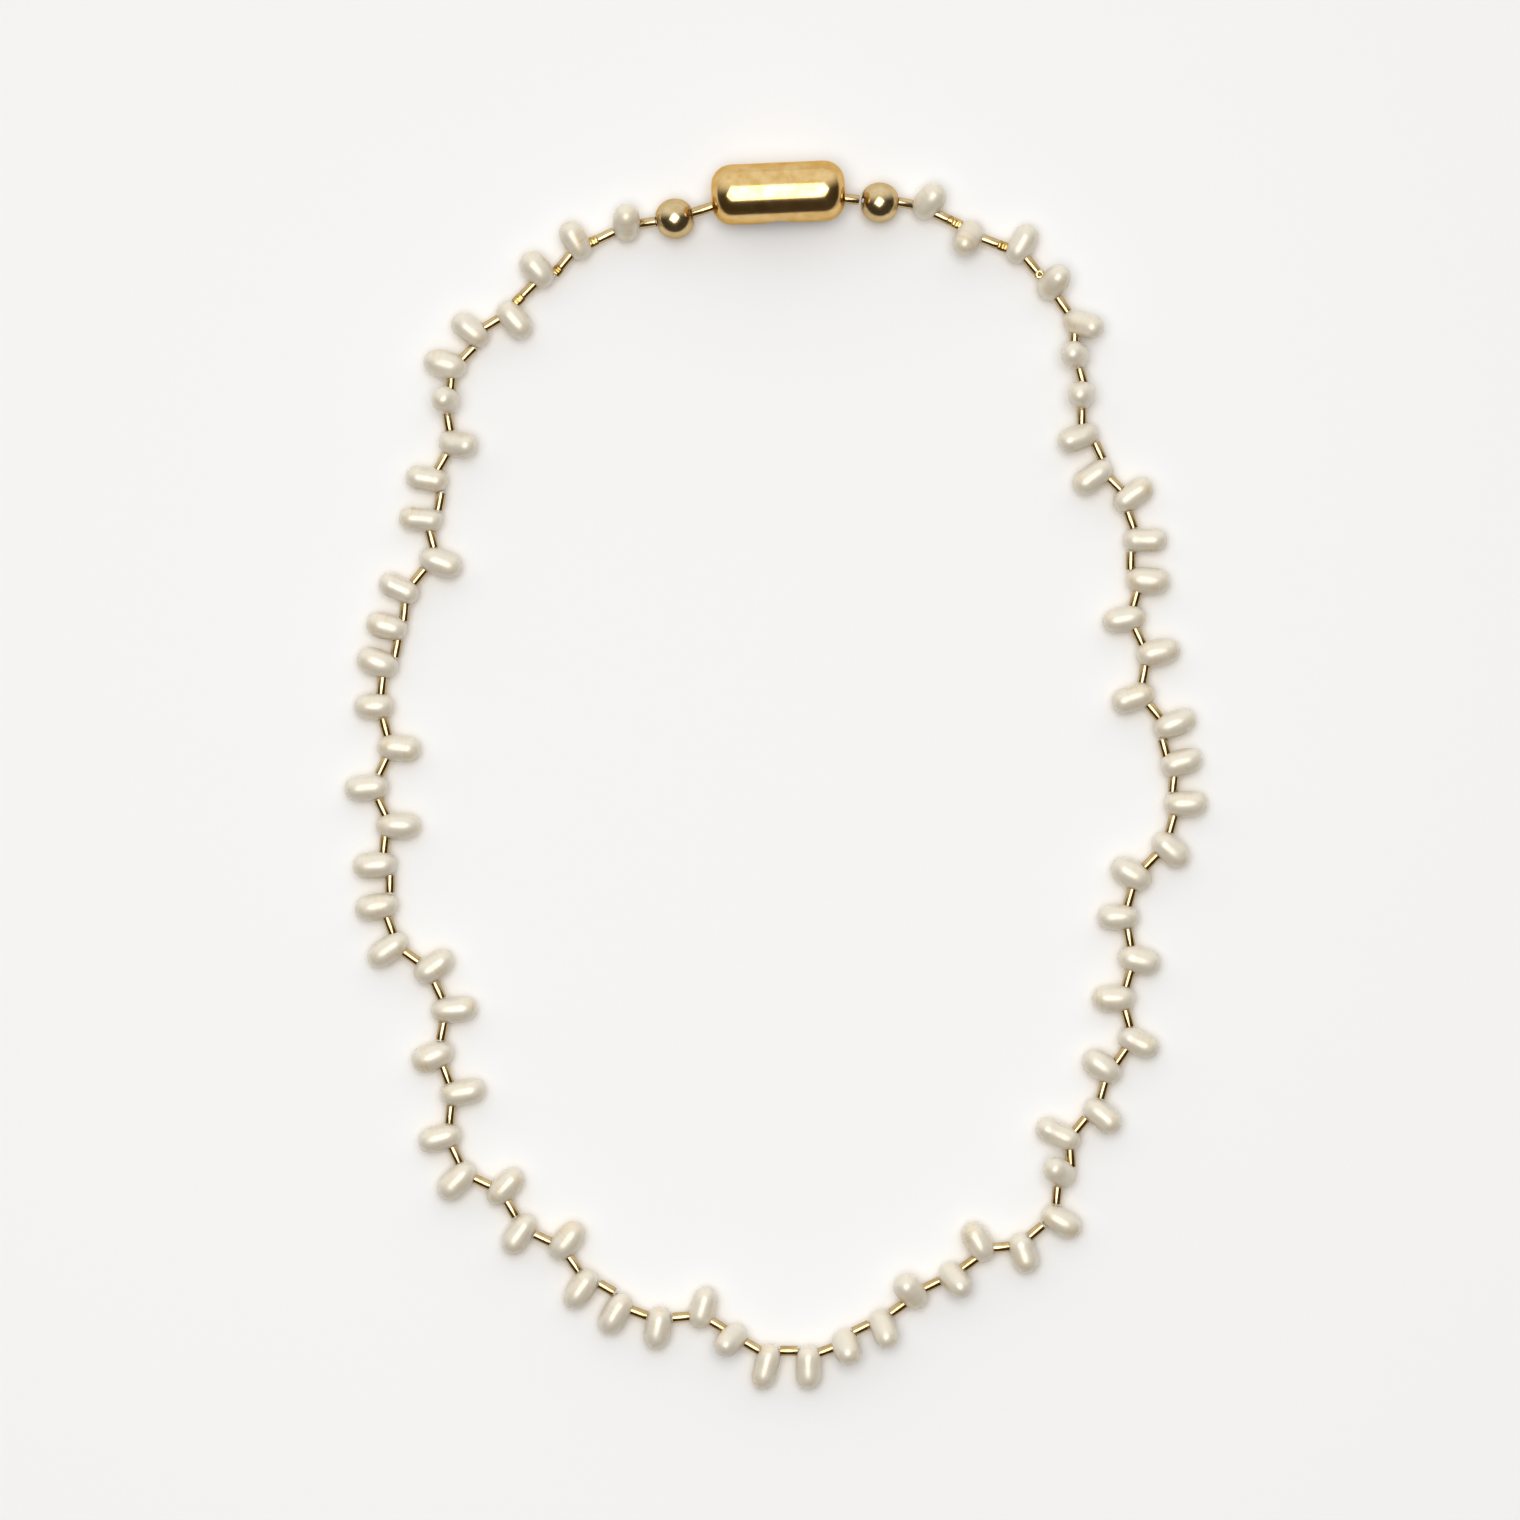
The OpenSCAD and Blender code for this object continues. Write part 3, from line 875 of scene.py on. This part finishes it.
def stringing_recipe() -> NodeRecipe:
    """The tree that strings one bead shape on points, along each point's way, with a random turn."""
    recipe = NodeRecipe.blank(
        "string_beads",
        [
            ("Bead", "NodeSocketObject", None),
            ("Turn Spread", "NodeSocketFloat", math.tau),
            ("Seed", "NodeSocketInt", 7),
            ("Plate", "NodeSocketMaterial", None),
        ],
    )
    tree = recipe.tree
    group = add_node(tree, "NodeGroupInput").outputs
    way = add_node(
        tree, "GeometryNodeInputNamedAttribute", {"Name": "way"}, data_type="FLOAT_VECTOR"
    )
    aimed = add_node(tree, "FunctionNodeAlignRotationToVector", {"Vector": way}, axis="Z")
    roll = add_node(
        tree,
        "FunctionNodeRandomValue",
        {2: 0.0, 3: group["Turn Spread"], "Seed": group["Seed"]},
        data_type="FLOAT",
    )
    about_z = {"Axis": (0.0, 0.0, 1.0), "Angle": roll.outputs[1]}
    spun = add_node(tree, "FunctionNodeAxisAngleToRotation", about_z)
    both = {"Rotation": aimed, "Rotate By": spun}
    turned = add_node(tree, "FunctionNodeRotateRotation", both, rotation_space="LOCAL")
    shape = add_node(tree, "GeometryNodeObjectInfo", {"Object": group["Bead"]}).outputs["Geometry"]
    beads = {"Points": group["Geometry"], "Instance": shape, "Rotation": turned}
    strung = add_node(tree, "GeometryNodeInstanceOnPoints", beads)
    solid = add_node(tree, "GeometryNodeRealizeInstances", {"Geometry": strung})
    dress(tree, solid, group["Plate"])
    return recipe


# ---------------------------------------------------------------------------- the strand's pieces


@dataclass
class PearlRuns:
    """All the pearls, one piece for each run of them."""

    strand: Strand
    finishes: Finishes
    waisted: tuple[int, ...] = (9, 10, 12, 46, 62, 68)
    deep_waist: float = 0.15
    seed: int = 20
    apart: float = 13.7
    bit_over_mm: float = 0.8

    def build(self) -> None:
        """Grows the pearls of each run and puts them on its body."""
        recipe = pearl_recipe()
        dice = np.random.default_rng(self.seed)
        count = len(self.strand.pearls)
        waists = dice.uniform(0.01, 0.11, count)
        skews = dice.uniform(-0.05, 0.05, count)
        rolls = dice.uniform(0, math.tau, count)
        for number in self.waisted:
            waists[number - 1] = self.deep_waist
        for node in sorted({p.node for p in self.strand.pearls}):
            run = [p for p in self.strand.pearls if p.node == node]
            dealt = [(waists[p.number - 1], skews[p.number - 1], rolls[p.number - 1]) for p in run]
            rows = [self.facts(p, *luck) for p, luck in zip(run, dealt)]
            facts = {
                key: (kind, np.array([row[key] for row in rows], float))
                for key, kind in PEARL_FACTS.items()
            }
            points = point_cloud("pearl_points", facts["mid"][1], facts)
            mesh = recipe.run(points, {"Nacre": self.finishes.nacre})
            smooth(mesh, 50)
            run_name = node.removeprefix("pearls_")
            piece = new_piece(f"nacre_pearls_{run_name}", mesh)
            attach(piece, run_name)
            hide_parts(node)
            log.info("%s: %d pearls, %d faces", piece.name, len(run), len(mesh.polygons))

    def facts(self, pearl: PearlShape, waist: float, skew: float, roll: float) -> dict[str, Any]:
        """One pearl's value for each of PEARL_FACTS.

        Args:
            pearl: the pearl.
            waist: how deep its waist is, as a part of its width.
            skew: how much wider one end is than the other.
            roll: how far it is turned about its long way, in radians.

        Returns:
            The values by name.
        """
        axes = frame_about(pearl.way)
        side = axes[0] * math.cos(roll) + axes[1] * math.sin(roll)
        enter, leave = pearl.mouths
        (seat_in, way_in, wide_in), (seat_out, way_out, wide_out) = pearl.seats
        return {
            "mid": pearl.mid, "side": side, "up": np.cross(axes[2], side), "long": axes[2],
            "hole": (enter + leave) / 2, "drill": unit(leave - enter),
            "half_length": pearl.half_length, "half_width": pearl.half_width,
            "waist": waist, "skew": skew, "seed": self.apart * pearl.number,
            "bit_length": float(np.linalg.norm(leave - enter)) + self.bit_over_mm * MM,
            "seat_in": seat_in, "way_in": way_in, "wide_in": wide_in,
            "seat_out": seat_out, "way_out": way_out, "wide_out": wide_out,
        }


@dataclass
class DrawnTube:
    """A short drawn tube with its cut ends rounded over."""

    length: float
    width: float
    wall_mm: float = 0.22
    lip_mm: float = 0.035
    steps: int = 28

    def mesh(self) -> Mesh:
        """The tube along Z, about the origin."""
        outer, inner = self.width / 2, self.width / 2 - self.wall_mm * MM
        lip, half = self.lip_mm * MM, self.length / 2
        profile: list[tuple[float, float]] = []
        for r, z, turn in (
            (outer - lip, -half + lip, -90),
            (outer - lip, half - lip, 0),
            (inner + lip, half - lip, 90),
            (inner + lip, -half + lip, 180),
        ):
            for a in range(0, 91, 30):
                angle = math.radians(turn + a)
                profile.append((r + lip * math.cos(angle), z + lip * math.sin(angle)))
        return lathe(profile, self.steps)


@dataclass
class TubeRuns:
    """The gold tubes between the pearls, one piece for each run."""

    strand: Strand
    finishes: Finishes

    def build(self) -> None:
        """Strings the tubes of each run and puts them on its body."""
        recipe = stringing_recipe()
        for node in sorted({t.node for t in self.strand.tubes}):
            run = [t for t in self.strand.tubes if t.node == node]
            shape = new_piece("tube_shape", DrawnTube(run[0].length, run[0].width).mesh())
            facts = {"way": ("FLOAT_VECTOR", np.array([t.way for t in run]))}
            points = point_cloud("tube_points", np.array([t.mid for t in run]), facts)
            mesh = recipe.run(points, {"Bead": shape, "Plate": self.finishes.drawn})
            bpy.data.objects.remove(shape)
            smooth(mesh, 60)
            run_name = node.removeprefix("tubes_")
            piece = new_piece(f"gold_tubes_{run_name}", mesh)
            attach(piece, run_name)
            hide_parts(node)
            log.info("%s: %d tubes", piece.name, len(run))


@dataclass
class Crimps:
    """Crimp beads pressed onto the wire, with bulging sides and a dent from the pliers."""

    finishes: Finishes
    width_mm: float = 1.3
    flat_mm: float = 1.0
    bore_mm: float = 0.6
    dent: float = 0.17
    shortest_mm: float = 0.75  # anything shorter is the plain ring, which is not pressed
    rings: int = 13
    steps: int = 28

    def pressed(self, rod: Rod) -> Mesh:
        """One crimp, or the plain ring, as a mesh in its place."""
        axes = frame_about(rod.way)
        plain = rod.length < self.shortest_mm * MM
        flat_mm, dent, squared = self.flat_mm, self.dent, 0.8
        if plain:
            flat_mm, dent, squared = self.width_mm, 0.0, 1.0
        bm = bmesh.new()
        grid: list[list[Any]] = []
        for outside in (True, False):
            for i in range(self.rings):
                t = i / (self.rings - 1) if outside else 1 - i / (self.rings - 1)
                wide = tall = self.bore_mm / 2
                power = 1.0
                if outside:
                    # The mouths are rounded over, and the dent is deepest halfway.
                    edge = min(1.0, math.sin(math.pi * t) * 3.2 + 0.88)
                    wide = self.width_mm / 2 * edge
                    tall = flat_mm / 2 * edge * (1 - dent * math.exp(-(((t - 0.5) / 0.2) ** 2)))
                    power = squared
                ring = []
                for k in range(self.steps):
                    a = math.tau * k / self.steps
                    c, s = math.cos(a), math.sin(a)
                    x = wide * math.copysign(abs(c) ** power, c) * MM
                    y = tall * math.copysign(abs(s) ** power, s) * MM
                    z = (t - 0.5) * rod.length
                    ring.append(bm.verts.new(rod.mid + axes[0] * x + axes[1] * y + axes[2] * z))
                grid.append(ring)
        for i, here in enumerate(grid):
            there = grid[(i + 1) % len(grid)]
            for k in range(self.steps):
                j = (k + 1) % self.steps
                bm.faces.new((here[k], here[j], there[j], there[k]))
        bmesh.ops.recalc_face_normals(bm, faces=bm.faces)
        return as_mesh(bm, "crimp")

    def build(self) -> None:
        """Presses the crimps of each side and puts them on its body."""
        for side in ("left", "right"):
            node = f"crimps_{side}"
            bm = bmesh.new()
            rods = [Rod.read(points, node) for points in solids_of(node)]
            for rod in rods:
                bm.from_mesh(self.pressed(rod))
            mesh = as_mesh(bm, node)
            smooth(mesh, 50)
            mesh.materials.append(self.finishes.pressed)
            piece = new_piece(f"pressed_crimps_{side}", mesh)
            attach(piece, f"{side}_7")
            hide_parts(node)
            log.info("%s: %d", piece.name, len(rods))


# ---------------------------------------------------------------------------- the clasp's pieces


@dataclass
class HollowBall:
    """A ball spun from sheet, with its mouths rolled inwards."""

    node: str
    body: str
    finish: Material
    bore: Array
    mouth_mm: float
    both: bool
    wall_mm: float = 0.3
    pole: float = 0.02  # how near to its closed end, in radians, the outline stops
    arc_steps: int = 40
    steps: int = 72

    def build(self) -> None:
        """Spins the ball and puts it on its body."""
        low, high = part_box(self.node)
        middle = np.array((low + high) / 2)
        radius = float((high - low).z) / 2
        inner = radius - self.wall_mm * MM
        lip = self.wall_mm * MM / 2
        start = math.asin((self.mouth_mm / 2 * MM + lip) / (radius - lip))
        end = math.pi - (start if self.both else self.pole)
        profile = self.arc(radius, start, end)
        profile += self.rolled(radius, inner, end, 1) if self.both else []
        profile += self.arc(inner, end, start) + self.rolled(radius, inner, start, -1)
        mesh = placed(lathe(profile, self.steps), middle, frame_about(self.bore))
        smooth(mesh, 60)
        mesh.materials.append(self.finish)
        piece = new_piece(f"spun_{self.node}", mesh)
        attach(piece, self.body)
        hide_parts(self.node)
        log.info("%s: %d faces", piece.name, len(mesh.polygons))

    def arc(self, radius: float, first: float, last: float) -> list[tuple[float, float]]:
        """An arc of the outline between two angles from the axis, as (radius, height)."""
        step = (last - first) / self.arc_steps
        turns = [first + step * k for k in range(self.arc_steps + 1)]
        return [(radius * math.sin(a), radius * math.cos(a)) for a in turns]

    @staticmethod
    def rolled(radius: float, inner: float, angle: float, side: int) -> list[tuple[float, float]]:
        """The half round of a mouth's lip, from the outer wall to the inner, or back."""
        mid, lip = (radius + inner) / 2, (radius - inner) / 2
        points = []
        for k in range(1, 6):
            turn = math.pi * k / 6
            along = math.cos(turn) if side > 0 else -math.cos(turn)
            out, round_way = mid + lip * along, angle + side * math.sin(turn) * lip / mid
            points.append((out * math.sin(round_way), out * math.cos(round_way)))
        return points


@dataclass
class Sleeve:
    """The clasp's sleeve: a rolled gold capsule, slotted along one side, with a round window."""

    finish: Material
    wall_mm: float = 0.4
    shoulder_mm: float = 2.6
    slot_mm: float = 1.7
    window_mm: float = 5.4
    off_mm: float = 0.65  # how far the middle of the slot's round back is off the axis
    tip_mm: float = 0.02
    steps: int = 96

    def profile(self, length: float, width: float, shoulder: float) -> list[tuple[float, float]]:
        """Half the outline of a capsule as (radius, place along it)."""
        flat, tip = length / 2 - shoulder, self.tip_mm * MM

        def rounded(first: int, at: float) -> list[tuple[float, float]]:
            """A shoulder's quarter round, from an angle in degrees."""
            turns = [math.radians(a) for a in range(first, first + 91, 6)]
            across = width / 2 - shoulder
            return [(across + shoulder * math.cos(a), at + shoulder * math.sin(a)) for a in turns]

        straight = [(width / 2, -flat * (1 - k / 6)) for k in range(1, 12)]
        ends = (tip, -length / 2), (tip, length / 2)
        return [ends[0], *rounded(-90, -flat), *straight, *rounded(0, flat), ends[1]]

    def build(self) -> None:
        """Rolls the sleeve, cuts its slot and window, and puts it on its body."""
        points = np.concatenate(solids_of("clasp_sleeve"))
        low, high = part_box("clasp_sleeve")
        middle = np.array((low + high) / 2)
        left, right = middle_of("left_end_ball"), middle_of("right_end_ball")
        along = unit(right - left)
        down = (left + right) / 2 - middle
        down = unit(down - (down @ along) * along)
        length = float(np.ptp((points - middle) @ along))
        width = float(high.z - low.z)
        axes = np.array([np.cross(-down, along), -down, along])
        outer = self.profile(length, width, self.shoulder_mm * MM)
        wall = self.wall_mm * MM
        inner = self.profile(
            length - 2 * wall, width - 2 * wall, (self.shoulder_mm - self.wall_mm) * MM
        )
        shell = placed(lathe(outer + inner[::-1], self.steps), middle, axes)
        body = new_piece("sleeve_body", shell)
        for cutter in (self.slot_cutter(length, width), self.window_cutter(width)):
            tool = new_piece("cutter", placed(cutter, middle, axes))
            cut = body.modifiers.new("cut", "BOOLEAN")
            cut.object, cut.operation, cut.solver = tool, "DIFFERENCE", "EXACT"
            body.data = baked(body)
            body.modifiers.remove(cut)
            bpy.data.objects.remove(tool)
        mesh = body.data
        mesh.materials.clear()
        mesh.materials.append(self.finish)
        smooth(mesh, 35)
        body.name = "rolled_clasp_sleeve"
        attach(body, "clasp_sleeve")
        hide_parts("clasp_sleeve")
        log.info("%s: %d faces", body.name, len(mesh.polygons))

    def slot_cutter(self, length: float, width: float) -> Mesh:
        """A long bar with a round back, for the slot. Y is away from the slot's mouth."""
        half, back = self.slot_mm / 2 * MM, -self.off_mm * MM
        turns = [math.radians(a) for a in range(0, 181, 10)]
        outline = [(-half, -width), (half, -width)]
        outline += [(half * math.cos(a), back + half * math.sin(a)) for a in turns]
        bm = bmesh.new()
        ends = [[bm.verts.new((x, y, z)) for x, y in outline] for z in (-length, length)]
        bm.faces.new(ends[0])
        bm.faces.new(ends[1][::-1])
        for k in range(len(outline)):
            j = (k + 1) % len(outline)
            bm.faces.new((ends[0][k], ends[0][j], ends[1][j], ends[1][k]))
        bmesh.ops.recalc_face_normals(bm, faces=bm.faces)
        return as_mesh(bm, "slot")

    def window_cutter(self, width: float) -> Mesh:
        """A round bar for the window, from the axis out through the slot's side."""
        bm = bmesh.new()
        radius = self.window_mm / 2 * MM
        out = Matrix.Translation((0, -width / 2, 0)) @ Matrix.Rotation(math.pi / 2, 4, "X")
        bmesh.ops.create_cone(
            bm, cap_ends=True, segments=64, radius1=radius, radius2=radius, depth=width, matrix=out
        )
        return as_mesh(bm, "window")


@dataclass
class Clasp:
    """The two outer balls, the links with their end balls, and the sleeve."""

    strand: Strand
    finishes: Finishes
    ball_mouth_mm: float = 2.1
    end_ball_mouth_mm: float = 1.0

    def build(self) -> None:
        """Builds every piece of the clasp."""
        gold = self.finishes.spun
        for side, last in (("left", self.strand.tubes[0]), ("right", self.strand.tubes[-1])):
            link = Rod.read(np.concatenate(solids_of(f"{side}_link_tube")), f"{side}_link_tube")
            ball, end_ball = middle_of(f"{side}_ball"), middle_of(f"{side}_end_ball")
            bore = unit(unit(end_ball - ball) - unit(last.mid - ball))
            HollowBall(
                f"{side}_ball", f"{side}_ball", gold, bore, self.ball_mouth_mm, both=True
            ).build()
            HollowBall(
                f"{side}_end_ball", f"{side}_link", gold, unit(ball - end_ball),
                self.end_ball_mouth_mm, both=False,
            ).build()
            straight = DrawnTube(link.length, link.width).mesh()
            shape = placed(straight, link.mid, frame_about(link.way))
            shape.materials.append(self.finishes.drawn)
            smooth(shape, 60)
            tube = new_piece(f"gold_{side}_link_tube", shape)
            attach(tube, f"{side}_link")
            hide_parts(f"{side}_link_tube")
        Sleeve(self.finishes.rolled).build()


@dataclass
class KeptNodes:
    """The wire and the wire stops, which keep their CAD shape and get their finish."""

    finishes: Finishes

    def dress(self) -> None:
        """Gives each kept node its material."""
        for name, node in CAD_NODES.items():
            if node.hide_render:
                continue
            node.data.materials.clear()
            finish = self.finishes.pressed if "stop" in name else self.finishes.wire
            node.data.materials.append(finish)
            log.info("%s keeps its CAD shape", name)


# ---------------------------------------------------------------------------- camera, floor, light


@dataclass
class Studio:
    """A white table seen from straight above, under one large soft box.

    The box hangs nearly overhead and gives pearls and gold their broad highlights. On
    window_side the surroundings are a pale wall, elsewhere a dark room, so that gold shows a
    bright and a dark side.
    """

    lens: float = 150.0
    sensor: float = 36.0
    view_mm: float = 189.8
    look_at_mm: tuple[float, float] = (-2.0, 2.1)
    box_at: tuple[float, float, float] = (-0.04, 0.03, 0.85)
    box_size: tuple[float, float] = (0.7, 0.6)
    box_power: float = 5.6
    box_colour: tuple[float, float, float] = (1.015, 1.0, 0.985)
    window_side: tuple[float, float, float] = (-0.12, 0.98, 0.12)
    room: tuple[float, float, float, float] = (0.06, 0.05, 0.04, 1)
    pale_wall: tuple[float, float, float, float] = (1.0, 1.03, 1.06, 1)
    table_half: float = 3.0

    def camera(self) -> None:
        """Looks straight down at the necklace."""
        data = bpy.data.cameras.new("camera")
        data.lens, data.sensor_width = self.lens, self.sensor
        data.clip_start, data.clip_end = 0.01, 10
        cam = bpy.data.objects.new("camera", data)
        distance = self.lens / self.sensor * self.view_mm * MM
        cam.location = (self.look_at_mm[0] * MM, self.look_at_mm[1] * MM, distance)
        bpy.context.scene.collection.objects.link(cam)
        bpy.context.scene.camera = cam

    def floor(self) -> None:
        """A wide flat table top at the height that the necklace rests on."""
        bm = bmesh.new()
        bmesh.ops.create_grid(bm, x_segments=8, y_segments=8, size=self.table_half)
        mesh = as_mesh(bm, "table_top")
        mesh.materials.append(TableTop().build())
        new_piece("table_top", mesh)

    def soft_box(self) -> None:
        """Adds the soft box, facing the necklace."""
        data = bpy.data.lights.new("overhead_box", "AREA")
        data.shape, data.energy, data.color = "RECTANGLE", self.box_power, self.box_colour
        data.size, data.size_y = self.box_size
        lamp = bpy.data.objects.new("overhead_box", data)
        lamp.location = self.box_at
        lamp.rotation_euler = (-Vector(self.box_at)).to_track_quat("-Z", "Y").to_euler()
        bpy.context.scene.collection.objects.link(lamp)

    def surroundings(self) -> None:
        """A pale wall on one side and a dark room on the other."""
        world = bpy.data.worlds.new("studio_walls")
        world.use_nodes = True
        tree = world.node_tree
        tree.nodes.clear()
        way = add_node(tree, "ShaderNodeTexCoord").outputs["Generated"]
        toward = add_node(
            tree, "ShaderNodeVectorMath", {0: way, 1: self.window_side}, operation="DOT_PRODUCT"
        ).outputs["Value"]
        near = add_node(
            tree,
            "ShaderNodeMapRange",
            {"Value": toward, "From Min": 0.05, "From Max": 0.75},
            interpolation_type="SMOOTHSTEP",
        )
        walls = mixed(tree, near, self.room, self.pale_wall)
        glow = add_node(tree, "ShaderNodeBackground", {"Color": walls, "Strength": 1.0})
        add_node(tree, "ShaderNodeOutputWorld", {"Surface": glow})
        bpy.context.scene.world = world

    def build(self) -> None:
        """Sets up the camera, the table, the light and the surroundings."""
        bpy.context.scene.view_settings.view_transform = "Standard"
        self.camera()
        self.floor()
        self.soft_box()
        self.surroundings()


def main() -> None:
    """Loads the model, builds the pieces over it, and hands the scene over."""
    logging.basicConfig(level=logging.INFO, format="%(message)s")
    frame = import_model()
    CAD_NODES.update(frame["nodes"])
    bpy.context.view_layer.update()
    Studio().build()
    finishes = Finishes()
    strand = Strand()
    strand.read()
    log.info("%d pearls and %d tubes in order", len(strand.pearls), len(strand.tubes))
    PearlRuns(strand, finishes).build()
    TubeRuns(strand, finishes).build()
    Crimps(finishes).build()
    Clasp(strand, finishes).build()
    KeptNodes(finishes).dress()


if __name__ == "__main__":
    main()
